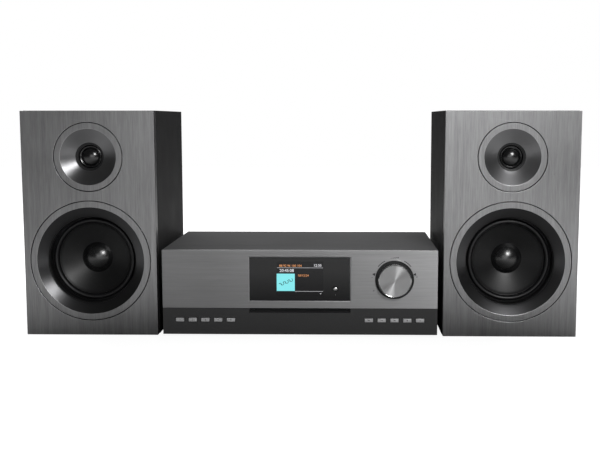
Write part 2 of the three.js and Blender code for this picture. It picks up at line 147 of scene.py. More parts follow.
def makeFloor():
    bpy.ops.mesh.primitive_plane_add(size=studio["floorSize"], location=(0, 0, -studio["floorDrop"]))
    floor = bpy.context.object
    floor.name = "floor"
    bpy.ops.object.transform_apply(location=True, rotation=True, scale=True)
    pale = bpy.data.materials.new("paleFloor")
    pale.use_nodes = True
    tree = pale.node_tree
    place = addNode(tree, "TexCoord")
    away = tree.nodes.new("ShaderNodeVectorMath")
    away.operation = "LENGTH"
    tree.links.new(place.outputs["Object"], away.inputs[0])
    faded = {}
    for quality in ("colour", "white"):
        near, far = studio["floorNear"][quality], studio["floorFar"][quality]
        faded[quality] = addRange(tree, away.outputs["Value"], studio["fadeStart"], studio["fadeEnd"],
                                  To_Min=near, To_Max=far)
    path = addNode(tree, "LightPath")
    lift = addMath(tree, "MULTIPLY", path.outputs["Is Camera Ray"], faded["white"])
    feed(tree, tree.nodes["Principled BSDF"], Base_Color=faded["colour"],
         Roughness=studio["floorRoughness"], Specular_IOR_Level=studio["floorShine"],
         Emission_Color=(1, 1, 1, 1), Emission_Strength=lift)
    floor.data.materials.append(pale)


makeCamera()
makeWorld()
makeFloor()
for light in lights:
    addLight(*light)
bpy.context.scene.view_settings.view_transform = "Standard"
print("camera, floor and light are in place")

# effects that several materials share are node groups


def startGroup(name, inputs, outputs):
    # an input without a number is a vector
    group = bpy.data.node_groups.new(name, "ShaderNodeTree")
    for label, value in inputs.items():
        kind = "NodeSocketVector" if value is None else "NodeSocketFloat"
        socket = group.interface.new_socket(label, in_out="INPUT", socket_type=kind)
        if value is not None:
            socket.default_value = value
    for label in outputs:
        group.interface.new_socket(label, in_out="OUTPUT", socket_type="NodeSocketFloat")
    return group, group.nodes.new("NodeGroupInput"), group.nodes.new("NodeGroupOutput")


def addNoise(tree, vector, scale, detail, roughness=0.55):
    noise = addNode(tree, "TexNoise", Vector=vector, Scale=scale, Detail=detail, Roughness=roughness)
    return noise.outputs["Fac"]


# two noises make each tone, and the finer one is the height too
toneNoise = {
    "brushStrokes": {"detail": 5, "roughness": 0.7, "share": 0.65,
                     "wideScale": 0.16, "wideDetail": 3, "wideShare": 0.35},
    "surfaceGrain": {"detail": 2, "roughness": 0.55, "share": 0.6,
                     "wideScale": 0.02, "wideDetail": 3, "wideShare": 0.4},
}
swing = 4.0  # noise keeps near its middle, so its distance from there is stretched


def buildToneGroup(name):
    # the vector comes in scaled, so that a stroke or grain is one unit across
    values = toneNoise[name]
    group, start, end = startGroup(name, {"Vector": None, "Contrast": 0.1}, ("Tone", "Height"))
    vector = start.outputs["Vector"]
    fine = addNoise(group, vector, 1.0, values["detail"], values["roughness"])
    wide = addNoise(group, vector, values["wideScale"], values["wideDetail"])
    both = addMath(group, "ADD", addMath(group, "MULTIPLY", fine, values["share"]),
                   addMath(group, "MULTIPLY", wide, values["wideShare"]))
    change = addMath(group, "SUBTRACT", both, 0.5)
    change = addMath(group, "MULTIPLY", change, start.outputs["Contrast"])
    tone = addMath(group, "ADD", addMath(group, "MULTIPLY", change, swing), 1.0)
    feed(group, end, Tone=tone, Height=fine)
    return group


traces = {
    "wipeScale": 14,
    "wipeDetail": 4,
    "wipeSwing": 3.0,
    "leastRoughness": 0.02,
    "dustScale": 900,
    "dustFrom": 0.74,
    "dustFull": 0.8,
    "dustStrength": 0.25,
    "dustColour": (0.35, 0.34, 0.32),
}


def buildHandlingGroup():
    # faint wipe marks and settled dust, as a change of roughness and a dust mask
    group, start, end = startGroup(
        "handling", {"Vector": None, "Roughness": 0.4, "Marks": 0.05}, ("Roughness", "Dust")
    )
    vector = start.outputs["Vector"]
    noise = addNoise(group, vector, traces["wipeScale"], traces["wipeDetail"])
    change = addMath(group, "MULTIPLY", addMath(group, "SUBTRACT", noise, 0.5), start.outputs["Marks"])
    change = addMath(group, "MULTIPLY", change, traces["wipeSwing"])
    total = addMath(group, "ADD", start.outputs["Roughness"], change)
    specks = addNoise(group, vector, traces["dustScale"], 1)
    mask = addRange(group, specks, traces["dustFrom"], traces["dustFull"])
    feed(group, end, Roughness=addMath(group, "MAXIMUM", total, traces["leastRoughness"]),
         Dust=addMath(group, "MULTIPLY", mask, traces["dustStrength"]))
    return group


# how sharp an edge is where its wear and painted highlight start, and where they are complete
edgeWearAndSheenRange = {"from": 0.55, "full": 0.64}


def buildEdgeWearAndSheenGroup():
    # where a bevelled edge is lightened: partly rubbed wear, partly a painted highlight along the edge
    group, start, end = startGroup("edgeWearAndSheen", {"Amount": 0.3}, ("Mask",))
    shape = addNode(group, "NewGeometry")
    ridge = addRange(group, shape.outputs["Pointiness"], edgeWearAndSheenRange["from"], edgeWearAndSheenRange["full"])
    feed(group, end, Mask=addMath(group, "MULTIPLY", ridge, start.outputs["Amount"]))
    return group


brushGroup = buildToneGroup("brushStrokes")
grainGroup = buildToneGroup("surfaceGrain")
handlingGroup = buildHandlingGroup()
edgeWearAndSheenGroup = buildEdgeWearAndSheenGroup()


def scaleColour(tree, colour, tone):
    node = tree.nodes.new("ShaderNodeVectorMath")
    node.operation = "SCALE"
    feed(tree, node, Vector=colour, Scale=tone)
    return node.outputs[0]


class Recipe:
    # one material being put together around its Principled shader

    def __init__(self, name, colour, roughness, **plain):
        self.material = bpy.data.materials.new(name)
        self.material.use_nodes = True
        self.tree = self.material.node_tree
        self.shader = self.tree.nodes["Principled BSDF"]
        self.colour = colour
        self.roughness = roughness
        self.feedShader(Base_Color=(*colour, 1), Roughness=roughness, **plain)
        self.place = addNode(self.tree, "TexCoord").outputs["Object"]

    def feedShader(self, **inputs):
        feed(self.tree, self.shader, **inputs)

    def stretched(self, scale):
        return addNode(self.tree, "Mapping", Vector=self.place, Scale=scale).outputs[0]

    def use(self, group, **inputs):
        node = self.tree.nodes.new("ShaderNodeGroup")
        node.node_tree = group
        feed(self.tree, node, **inputs)
        return node.outputs

    def tint(self, tone, edge=None, edgeColour=None, dust=None):
        colour = scaleColour(self.tree, self.colour, tone)
        for mask, other in ((edge, edgeColour), (dust, traces["dustColour"])):
            if mask is None:
                continue
            mix = self.tree.nodes.new("ShaderNodeMix")
            mix.data_type = "RGBA"
            feed(self.tree, mix, Factor=mask, A=colour, B=(*other, 1))
            colour = mix.outputs["Result"]
        self.feedShader(Base_Color=colour)

    def bump(self, height, strength, depth):
        node = addNode(self.tree, "Bump", Height=height, Strength=strength, Distance=depth)
        self.feedShader(Normal=node.outputs[0])

    def rough(self, marks):
        out = self.use(handlingGroup, Vector=self.place, Roughness=self.roughness, Marks=marks)
        self.feedShader(Roughness=out["Roughness"])
        return out["Dust"]

    def tangent(self, axis):
        node = self.tree.nodes.new("ShaderNodeTangent")
        node.direction_type = "RADIAL"
        node.axis = axis
        self.feedShader(Tangent=node.outputs[0])


metalLook = {"wearAndSheen": 0.35, "brighter": 1.6, "bump": 0.25, "marks": 0.06}
coatLook = {"wearAndSheen": 0.3, "brighter": 2.2, "lift": 0.01, "marks": 0.08}
glossLook = {"grain": (400, 400, 400), "contrast": 0.05, "bump": 0.03, "depth": 0.00002}
glowLook = {"cells": (5000, 5000, 5000), "contrast": 0.06, "unlit": (0.01, 0.01, 0.01), "roughness": 0.25}


def brushedMetal(name, colour, roughness, strokes, tangentAxis, spread, contrast, depth=0.00002,
                 turn=0.0):
    # strokes per metre along each axis
    # turn 0.25 spreads the shine across grooves that run round the axis
    recipe = Recipe(name, colour, roughness, Metallic=1.0, Anisotropic=spread, Anisotropic_Rotation=turn)
    grain = recipe.use(brushGroup, Vector=recipe.stretched(strokes), Contrast=contrast)
    # sharp edges get a lighter colour: partly rubbed wear, partly a painted highlight
    edge = recipe.use(edgeWearAndSheenGroup, Amount=metalLook["wearAndSheen"])
    recipe.tint(grain["Tone"], edge["Mask"], [min(1, c * metalLook["brighter"]) for c in colour])
    recipe.bump(grain["Height"], metalLook["bump"], depth)
    recipe.rough(metalLook["marks"])
    recipe.tangent(tangentAxis)
    return recipe.material


def grainyCoat(name, colour, roughness, grains, contrast, strength, depth, **plain):
    recipe = Recipe(name, colour, roughness, **plain)
    grain = recipe.use(grainGroup, Vector=recipe.stretched(grains), Contrast=contrast)
    # sharp edges get a lighter colour: partly rubbed wear, partly a painted highlight
    edge = recipe.use(edgeWearAndSheenGroup, Amount=coatLook["wearAndSheen"])
    dust = recipe.rough(coatLook["marks"])
    wearAndSheen = [min(1, c * coatLook["brighter"] + coatLook["lift"]) for c in colour]
    recipe.tint(grain["Tone"], edge["Mask"], wearAndSheen, dust)
    recipe.bump(grain["Height"], strength, depth)
    return recipe.material


def glossy(name, colour, roughness, marks=0.02, **plain):
    recipe = Recipe(name, colour, roughness, **plain)
    vector = recipe.stretched(glossLook["grain"])
    grain = recipe.use(grainGroup, Vector=vector, Contrast=glossLook["contrast"])
    recipe.tint(grain["Tone"], dust=recipe.rough(marks))
    recipe.bump(grain["Height"], glossLook["bump"], glossLook["depth"])
    return recipe.material


def glowing(name, colour, strength):
    recipe = Recipe(name, glowLook["unlit"], glowLook["roughness"])
    vector = recipe.stretched(glowLook["cells"])
    cells = recipe.use(grainGroup, Vector=vector, Contrast=glowLook["contrast"])
    lit = scaleColour(recipe.tree, colour, cells["Tone"])
    recipe.feedShader(Emission_Color=lit, Emission_Strength=strength)
    return recipe.material


finishes = {
    "fascia": brushedMetal("fasciaAluminium", (0.40, 0.40, 0.405), 0.40, (24, 1100, 1100), "X",
                           0.75, 0.16),
    "baffle": brushedMetal("baffleMetal", (0.36, 0.36, 0.365), 0.32, (1300, 1300, 40), "Z",
                           0.35, 0.36, 0.000003),
    "horn": brushedMetal("hornMetal", (0.235, 0.235, 0.24), 0.34, (60, 3000, 60), "Y",
                         0.5, 0.05, turn=0.25),
    "cutEdge": brushedMetal("cutEdge", (0.55, 0.55, 0.56), 0.34, (900, 900, 900), "Y", 0.0, 0.03),
    "flare": brushedMetal("flareMetal", (0.105, 0.105, 0.108), 0.30, (60, 3000, 60), "Y",
                          0.5, 0.05, turn=0.25),
    "knobFace": brushedMetal("spunAluminium", (0.50, 0.50, 0.505), 0.3, (900, 900, 900), "Y",
                             0.9, 0.03, turn=0.25),
    "knobSide": brushedMetal("knobSide", (0.62, 0.62, 0.63), 0.22, (900, 40, 900), "Y", 0.5, 0.05),
    "polished": brushedMetal("polishedMetal", (0.8, 0.8, 0.8), 0.12, (600, 600, 600), "Y", 0.0, 0.02),
    "key": grainyCoat("keyFinish", (0.74, 0.74, 0.75), 0.38, (1200,) * 3, 0.05, 0.1, 0.00003,
                      Metallic=0.6),
    "lower": grainyCoat("lowerPanel", (0.044, 0.044, 0.045), 0.46, (1100,) * 3, 0.1, 0.15, 0.00003),
    "cover": grainyCoat("coverFilm", (0.085, 0.085, 0.087), 0.42, (120, 2600, 2600), 0.3, 0.2, 0.00004),
    "cabinet": grainyCoat("cabinetFilm", (0.013, 0.013, 0.0135), 0.55, (1500, 1500, 160),
                          0.4, 0.3, 0.00006),
    "rear": grainyCoat("rearPaint", (0.028, 0.028, 0.029), 0.55, (1500,) * 3, 0.2, 0.3, 0.00005),
    "plastic": grainyCoat("blackPlastic", (0.014, 0.014, 0.015), 0.42, (1300,) * 3, 0.15, 0.2, 0.00004),
    "basket": grainyCoat("basketPaint", (0.006, 0.006, 0.0065), 0.5, (900,) * 3, 0.12, 0.15, 0.00003),
    "rubber": grainyCoat("blackRubber", (0.008, 0.008, 0.009), 0.38, (700,) * 3, 0.12, 0.1, 0.00003),
    "cone": grainyCoat("coneFilm", (0.006, 0.006, 0.0065), 0.4, (600,) * 3, 0.1, 0.08, 0.00003),
    "felt": grainyCoat("feltLip", (0.008, 0.008, 0.009), 0.95, (2500,) * 3, 0.5, 0.8, 0.0002),
    "window": glossy("windowGloss", (0.006, 0.006, 0.007), 0.06, 0.01, Coat_Weight=0.3),
    "lcd": glossy("lcdField", (0.010, 0.010, 0.0115), 0.09, 0.01),
    "dustCap": glossy("dustCapGloss", (0.004, 0.004, 0.0045), 0.27, Specular_IOR_Level=0.9, IOR=1.65),
    "dome": glossy("domeGloss", (0.004, 0.004, 0.0045), 0.22, Specular_IOR_Level=0.8, IOR=1.6),
    "steel": brushedMetal("zincSteel", (0.55, 0.56, 0.57), 0.34, (120, 900, 900), "X", 0.2, 0.08),
    "gold": brushedMetal("goldPlate", (0.78, 0.56, 0.22), 0.22, (900, 40, 900), "Y", 0.2, 0.04),
    "screw": brushedMetal("blackScrew", (0.06, 0.06, 0.062), 0.35, (900,) * 3, "Y", 0.1, 0.05),
    "red": glossy("redPlastic", (0.35, 0.012, 0.010), 0.28),
    "white": glossy("whitePlastic", (0.62, 0.61, 0.58), 0.35),
    "board": grainyCoat("solderMask", (0.012, 0.09, 0.035), 0.35, (500,) * 3, 0.4, 0.1, 0.00003),
    "ferrite": grainyCoat("ferrite", (0.035, 0.035, 0.037), 0.65, (900,) * 3, 0.4, 0.3, 0.00008),
    "winding": grainyCoat("varnishedIron", (0.14, 0.075, 0.04), 0.4, (60, 60, 2400), 0.5, 0.6, 0.0002),
    "darkInk": glossy("darkInk", (0.016, 0.016, 0.017), 0.5),
    "whiteInk": glossy("whiteInk", (0.55, 0.55, 0.55), 0.5),
    "glowWhite": glowing("glowWhite", (0.95, 0.95, 1.0), 1.0),
    "glowOrange": glowing("glowOrange", (1.0, 0.42, 0.16), 0.9),
    "glowCyan": glowing("glowCyan", (0.25, 0.86, 0.90), 0.95),
}
print("materials are made:", len(finishes))

# ways of making, cutting and finishing a mesh


def pick(piece):
    bpy.ops.object.select_all(action="DESELECT")
    piece.select_set(True)
    bpy.context.view_layer.objects.active = piece


def settle(piece, name):
    pick(piece)
    piece.name = name
    piece.data.name = name
    bpy.ops.object.transform_apply(location=True, rotation=True, scale=True)
    return piece


def editAll():
    bpy.ops.object.mode_set(mode="EDIT")
    bpy.ops.mesh.select_all(action="SELECT")


def closeEdit():
    bpy.ops.mesh.select_all(action="SELECT")
    bpy.ops.mesh.normals_make_consistent(inside=False)
    bpy.ops.object.mode_set(mode="OBJECT")


def addBlock(name, low, high):
    low, high = Vector(low), Vector(high)
    bpy.ops.mesh.primitive_cube_add(size=1, location=(low + high) / 2)
    bpy.context.object.scale = high - low
    return settle(bpy.context.object, name)


def addPlate(name, place, halfWidth, front, back, halfHeight):
    # a block around place that reaches from front to back
    return addBlock(name, (place.x - halfWidth, front, place.z - halfHeight),
                    (place.x + halfWidth, back, place.z + halfHeight))


def addRod(name, centre, radius, length, steps=64):
    # a cylinder that runs from front to back
    bpy.ops.mesh.primitive_cylinder_add(
        vertices=steps, radius=radius, depth=length, location=centre, rotation=(math.pi / 2, 0, 0)
    )
    return settle(bpy.context.object, name)


def runModifier(piece, kind, **values):
    pick(piece)
    modifier = piece.modifiers.new(kind.lower(), kind)
    for label, value in values.items():
        setattr(modifier, label, value)
    bpy.ops.object.modifier_apply(modifier=modifier.name)


def joinPieces(pieces, name):
    pick(pieces[0])
    for piece in pieces:
        piece.select_set(True)
    if len(pieces) > 1:
        bpy.ops.object.join()
    pieces[0].name = name
    return pieces[0]


def cutAway(piece, cutters):
    tool = joinPieces(cutters, "cutter")
    runModifier(piece, "BOOLEAN", object=tool, operation="DIFFERENCE", solver="EXACT")
    bpy.data.objects.remove(tool)


sharpTurn = math.radians(32)  # edges that turn by more than this get a bevel


def roundEdges(piece, width, segments=2):
    runModifier(piece, "BEVEL", width=width, segments=segments, limit_method="ANGLE",
                angle_limit=sharpTurn)


def smooth(piece, angle=35):
    pick(piece)
    bpy.ops.object.shade_smooth_by_angle(angle=math.radians(angle))
    runModifier(piece, "WEIGHTED_NORMAL", keep_sharp=True, weight=100)


def soften(piece, width, segments=2):
    roundEdges(piece, width, segments)
    smooth(piece)


def paint(piece, *names):
    piece.data.materials.clear()
    for name in names:
        piece.data.materials.append(finishes[name])


def paintWhere(piece, slotNumber, test):
    for face in piece.data.polygons:
        if test(face.center, face.normal):
            face.material_index = slotNumber


def handOver(piece, body, slotName, *replaced):
    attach(piece, body)
    if replaced:
        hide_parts(*replaced)


def finish(piece, look, body, slotName, *replaced):
    paint(piece, look)
    handOver(piece, body, slotName, *replaced)


def copyPiece(piece, name, offset):
    pick(piece)
    bpy.ops.object.duplicate()
    twin = bpy.context.object
    twin.name = name
    twin.data.name = name
    twin.data.transform(Matrix.Translation(offset))
    return twin


def middle(node):
    low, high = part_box(node)
    return (low + high) / 2


def turnPiece(name, centre, outline, steps=96, axis="Y", closed=True):
    # a ring drawn out along [radius, distance] steps, in millimetres, then closed on itself
    along = Vector((0, 1, 0)) if axis == "Y" else Vector((0, 0, 1))
    centre = Vector(centre)
    radius, distance = outline[0]
    turn = (math.pi / 2, 0, 0) if axis == "Y" else (0, 0, 0)
    bpy.ops.mesh.primitive_circle_add(
        vertices=steps, radius=radius * mm, location=centre + along * distance * mm, rotation=turn
    )
    piece = settle(bpy.context.object, name)
    editAll()
    if not closed:
        bpy.ops.mesh.edge_face_add()
    for nextRadius, nextDistance in outline[1:]:
        move = along * (nextDistance - distance) * mm
        bpy.ops.mesh.extrude_region_move(TRANSFORM_OT_translate={"value": move})
        ratio = nextRadius / radius
        if abs(ratio - 1) > 1e-7:
            size = (ratio, 1, ratio) if axis == "Y" else (ratio, ratio, 1)
            bpy.ops.transform.resize(value=size, center_override=centre + along * nextDistance * mm)
        radius, distance = nextRadius, nextDistance
    if closed:
        bpy.ops.mesh.select_all(action="DESELECT")
        bpy.ops.mesh.select_non_manifold(extend=False)
        bpy.ops.mesh.bridge_edge_loops()
    closeEdit()
    smooth(piece)
    return piece


def makeScrew():
    # a domed cross-head screw at the origin that faces the front, to be copied
    outline = [(2.8, 0), (2.8, -0.5), (2.3, -1.05), (1.3, -1.35), (0.1, -1.4)]
    screw = turnPiece("screwModel", (0, 0, 0), outline, 24, closed=False)
    for wide, tall in ((0.35, 1.6), (1.6, 0.35)):
        low = Vector((-wide, -3, -tall)) * mm
        high = Vector((wide, -0.8, tall)) * mm
        cutAway(screw, [addBlock("crossBar", low, high)])
    paint(screw, "screw")
    return screw


facings = {"right": 90, "rear": 180, "left": -90}


def placeScrew(name, place, facing, body, slotName):
    screw = copyPiece(screwModel, name, (0, 0, 0))
    turn = Matrix.Rotation(math.radians(facings[facing]), 4, "Z")
    screw.data.transform(Matrix.Translation(place) @ turn)
    handOver(screw, body, slotName)


def addText(name, words, place, size, depth):
    bpy.ops.object.text_add(location=place, rotation=(math.pi / 2, 0, 0))
    text = bpy.context.object
    text.data.body = words
    text.data.size = size
    text.data.extrude = depth / 2
    text.data.align_x = "CENTER"
    text.data.align_y = "CENTER"
    text.data.resolution_u = 3
    bpy.ops.object.convert(target="MESH")
    return settle(bpy.context.object, name)


screwModel = makeScrew()
hole = 5 * mm  # how far a cutter reaches past what it cuts

housing = {
    "skin": 1.2 * mm,
    "coverEdge": 0.45 * mm,
    "fasciaEdge": 0.4 * mm,
    "windowFrame": 0.9 * mm,
    "frameSlope": 0.45 * mm,
    "sideScrewInset": 22 * mm,
    "sideScrewRise": 12 * mm,
    "knobRecess": 23.8 * mm,
    "recessDepth": 3 * mm,
    "shaftHole": 6 * mm,
    "slotFloor": 30 * mm,
    "slotHalfWidth": 62.5 * mm,
    "keyGap": 0.35 * mm,
}
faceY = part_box("upper_fascia")[0].y
knobMiddle = middle("knob_cap")


def buildCover():
    low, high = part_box("top_cover")
    cover = addBlock("topCover", low, high)
    skin = housing["skin"]
    inside = addBlock("inside", (low.x + skin, low.y - hole, low.z - hole),
                      (high.x - skin, high.y + hole, high.z - skin))
    cutAway(cover, [inside])
    soften(cover, housing["coverEdge"], 3)
    finish(cover, "cover", "receiver", "cover_film", "top_cover")
    for side, x in (("left", low.x), ("right", high.x)):
        for i, y in enumerate((low.y + housing["sideScrewInset"], high.y - housing["sideScrewInset"])):
            place = (x, y, low.z + housing["sideScrewRise"])
            placeScrew(f"{side}CoverScrew{i + 1}", place, side, "receiver", "bare_steel")


def buildFascia():
    low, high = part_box("upper_fascia")
    windowLow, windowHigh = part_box("display_window")
    panel = addBlock("upperFascia", low, high)
    frameWidth = housing["windowFrame"]
    outLow = Vector((windowLow.x - frameWidth, low.y - hole, windowLow.z - frameWidth))
    outHigh = Vector((windowHigh.x + frameWidth, high.y + hole, windowHigh.z + frameWidth))
    opening = addBlock("opening", outLow, outHigh)
    depth = housing["recessDepth"]
    knobPlace = Vector((knobMiddle.x, low.y + (depth - hole) / 2, knobMiddle.z))
    recess = addRod("recess", knobPlace, housing["knobRecess"], depth + hole, steps=128)
    cutAway(panel, [opening, recess])
    cutAway(panel, [addRod("bore", knobPlace, housing["shaftHole"], 6 * hole, steps=48)])
    soften(panel, housing["fasciaEdge"], 2)
    finish(panel, "fascia", "receiver", "brushed_aluminium", "upper_fascia")

    # the window's frame slopes in from the panel's face to the glass
    frameRing = addBlock("windowFrame", (outLow.x, low.y, outLow.z),
                         (outHigh.x, low.y + 2 * mm, outHigh.z))
    pick(frameRing)
    bpy.ops.object.mode_set(mode="EDIT")
    bpy.ops.mesh.select_all(action="DESELECT")
    bpy.ops.object.mode_set(mode="OBJECT")
    for face in frameRing.data.polygons:
        face.select = face.normal.y < -0.9
    bpy.ops.object.mode_set(mode="EDIT")
    bpy.ops.mesh.inset(thickness=frameWidth)
    bpy.ops.transform.translate(value=(0, housing["frameSlope"], 0))
    bpy.ops.mesh.delete(type="FACE")
    bpy.ops.object.mode_set(mode="OBJECT")
    runModifier(frameRing, "SOLIDIFY", thickness=0.1 * mm, offset=-1)
    cutAway(frameRing, [addBlock("through", (windowLow.x, low.y - hole, windowLow.z),
                                 (windowHigh.x, high.y + hole, windowHigh.z))])
    smooth(frameRing)
    finish(frameRing, "cutEdge", "receiver", "brushed_aluminium")

    liner = [(23.7, 0.5), (23.7, 2.95), (6.3, 2.95), (6.3, 2.7), (23.2, 2.7), (23.2, 0.5)]
    cup = turnPiece("knobRecess", (knobMiddle.x, low.y, knobMiddle.z), liner, 128)
    finish(cup, "plastic", "receiver", "black_plastic")


def buildLowerFascia():
    low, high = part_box("lower_fascia")
    panel = addBlock("lowerFascia", low, high)
    wide, slotFloor = housing["slotHalfWidth"], housing["slotFloor"]
    cutters = [addBlock("notch", (-wide, low.y - hole, slotFloor),
                        (wide, high.y + hole, high.z + hole))]
    for i in range(5):
        for row in ("preset", "transport"):
            keyMiddle = middle(f"{row}_button_{i + 1}")
            halfWidth = keySize["width"] / 2 + housing["keyGap"]
            halfHeight = keySize["height"] / 2 + housing["keyGap"]
            cutters.append(addPlate("keyHole", keyMiddle, halfWidth, low.y - hole, high.y + hole,
                                    halfHeight))
    cutAway(panel, cutters)
    soften(panel, 0.3 * mm, 2)
    finish(panel, "lower", "receiver", "dark_panel", "lower_fascia")
    lips = []
    for depth, bottom, top in slotLips:
        lips.append(addBlock("slotLip", (-wide, low.y + depth * mm, slotFloor + bottom * mm),
                             (wide, high.y + 1 * mm, slotFloor + top * mm)))
    felt = joinPieces(lips, "slotLips")
    finish(felt, "felt", "receiver", "black_plastic")


slotLips = ((2, -1, 2.5), (2.4, 3.2, 6))  # depth, bottom and top above the slot's floor, in millimetres
keySize = {"width": 10.2 * mm, "height": 4.6 * mm, "depth": 6.4 * mm, "edge": 0.45 * mm}


def keyLegend(name, kind, place):
    # the shapes stand a hair proud of the key's face
    size, thin = 0.75 * mm, 0.03 * mm

    def bar(left, right, tall):
        return addBlock(name, place + Vector((left * size, -thin, -tall * size)),
                        place + Vector((right * size, thin, tall * size)))

    def arrow(x, turn):
        bpy.ops.mesh.primitive_cylinder_add(vertices=3, radius=size, depth=2 * thin,
                                            location=place + Vector((x * size, 0, 0)),
                                            rotation=(math.pi / 2, math.radians(turn), 0))
        return settle(bpy.context.object, name)

    if kind.isdigit():
        return addText(name, kind, place, 2.6 * mm, 2 * thin)
    shapes = {
        "play": lambda: [arrow(-0.9, 90), bar(0.3, 0.7, 0.8), bar(1.1, 1.5, 0.8)],
        "stop": lambda: [bar(-0.8, 0.8, 0.8)],
        "back": lambda: [arrow(-0.5, -90), arrow(0.8, -90), bar(-1.9, -1.5, 0.8)],
        "next": lambda: [arrow(-0.8, 90), arrow(0.5, 90), bar(1.5, 1.9, 0.8)],
        "eject": lambda: [arrow(0, 0), bar(-0.9, 0.9, 0.25)],
    }
    return joinPieces(shapes[kind](), name)


def buildKeys():
    legends = {
        "preset": ("1", "2", "3", "4", "5"),
        "transport": ("back", "play", "next", "stop", "eject"),
    }
    model = None
    for row in legends:
        for i, kind in enumerate(legends[row]):
            node = f"{row}_button_{i + 1}"
            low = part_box(node)[0]
            place = middle(node)
            if model is None:
                half = Vector((keySize["width"] / 2, 0, keySize["height"] / 2))
                start = Vector((place.x, low.y, place.z))
                back = Vector((0, keySize["depth"], 0))
                key = addBlock(f"{row}Key{i + 1}", start - half, start + half + back)
                soften(key, keySize["edge"], 4)
                paint(key, "key")
                model, first = key, place
            else:
                key = copyPiece(model, f"{row}Key{i + 1}", place - first)
            handOver(key, node, "key_plastic", node)
            legend = keyLegend(f"{row}Legend{i + 1}", kind, Vector((place.x, low.y, place.z)))
            finish(legend, "darkInk", node, "key_plastic")


def buildWindow():
    low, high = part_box("display_window")
    power = middle("power_button")
    glass = addBlock("displayWindow", low, high)
    cutAway(glass, [addRod("buttonHole", (power.x, low.y, power.z), 3.3 * mm, 4 * hole)])
    soften(glass, 0.3 * mm, 3)
    finish(glass, "window", "receiver", "display_glass", "display_window")

    dome = [(2.9, 4), (2.9, 0.4), (2.8, -0.1), (2.4, -0.5), (1.7, -0.8), (0.9, -0.96), (0.05, -1)]
    button = turnPiece("powerButton", (power.x, faceY, power.z), dome, 64, closed=False)
    finish(button, "polished", "power_button", "knob_metal", "power_button")
    mark = addText("powerMark", "I", (power.x, low.y, power.z - 7.2 * mm), 1.8 * mm, 0.06 * mm)
    finish(mark, "whiteInk", "receiver", "display_glass")


screen = {
    "middle": (0.4 * mm, 72.7 * mm),
    "size": (57.6 * mm, 43.2 * mm),
    "thin": 0.05 * mm,
}


def buildScreen():
    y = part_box("display_window")[0].y
    thin = screen["thin"]
    middleX, middleZ = screen["middle"]
    wide, tall = screen["size"]
    field = addBlock("screenField", (middleX - wide / 2, y - thin / 2, middleZ - tall / 2),
                     (middleX + wide / 2, y + thin, middleZ + tall / 2))
    finish(field, "lcd", "receiver", "display_glass")

    def lit(name, colour, left, right, bottom, top):
        piece = addBlock(name, (left * mm, y - thin, bottom * mm), (right * mm, y, top * mm))
        finish(piece, colour, "receiver", "display_glass")

    def words(name, colour, text, x, z, size):
        piece = addText(name, text, (x * mm, y - thin / 2, z * mm), size * mm, thin)
        finish(piece, colour, "receiver", "display_glass")

    words("stationLine", "glowOrange", "88 92 96 100 104", -11.2, 88.8, 3.9)
    words("clock", "glowWhite", "12:30", 22, 89.2, 4.4)
    lit("topRule", "glowWhite", -28, 28.8, 86.2, 86.45)
    words("titleLine", "glowWhite", "20:45:08", -15.9, 82.7, 5.2)
    lit("pictureTile", "glowCyan", -28.3, -6, 57.4, 79)
    words("smallLine", "glowOrange", "03/12/24", 4.6, 76.7, 3.7)
    lit("progressRule", "glowWhite", -6, 28.7, 56.9, 57.15)
    words("signalMark", "glowWhite", "v", 25.8, 54.3, 3.6)


def buildTileMark():
    # a row of small dark waves across the lit tile
    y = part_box("display_window")[0].y - screen["thin"]
    thin = screen["thin"]
    pieces = []
    for i in range(6):
        centre = (-24 * mm + i * 2.7 * mm, y - thin / 4, 65.6 * mm + i * 1.1 * mm)
        radius = (1.9 if i % 2 else 1.45) * mm
        start, sweep = (200, -230) if i % 2 else (170, 210)
        pieces.append(drawArc(f"tileWave{i + 1}", centre, radius, 0.6 * mm, thin / 2, start, sweep, 16))
    mark = joinPieces(pieces, "tileMark")
    finish(mark, "lcd", "receiver", "display_glass")


def drawArc(name, centre, radius, width, thin, start, sweep, steps=40):
    # a flat bar spun about the Y axis through centre; angles in degrees from the right, upward
    centre = Vector(centre)
    angle = math.radians(start)
    outward = Vector((math.cos(angle), 0, math.sin(angle)))
    bpy.ops.mesh.primitive_plane_add(size=1, location=centre + outward * radius)
    piece = bpy.context.object
    piece.scale = (width, thin, 1)
    piece.rotation_euler = (0, -angle, 0)
    settle(piece, name)
    editAll()
    bpy.ops.mesh.spin(steps=steps, angle=math.radians(sweep), center=centre, axis=(0, -1, 0))
    bpy.ops.mesh.select_all(action="SELECT")
    bpy.ops.mesh.remove_doubles(threshold=1e-7)
    closeEdit()
    return piece


def buildKnob():
    outline = [(19.4, 1.2), (20.2, 1.0), (20.4, 0.6), (20.4, -11.05), (20.3, -11.3), (19.55, -11.95),
               (19.3, -12), (19.05, -11.9), (18.9, -11.8), (0.05, -11.6)]
    cap = turnPiece("knobCap", (knobMiddle.x, faceY, knobMiddle.z), outline, 160, closed=False)
    smooth(cap, 20)
    paint(cap, "knobFace", "knobSide", "polished")
    rim = faceY - 11.0 * mm
    paintWhere(cap, 1, lambda centre, normal: abs(normal.y) < 0.3)
    paintWhere(cap, 2, lambda centre, normal: 0.3 <= abs(normal.y) < 0.95 and centre.y < rim)
    handOver(cap, "knob", "knob_metal", "knob_cap")


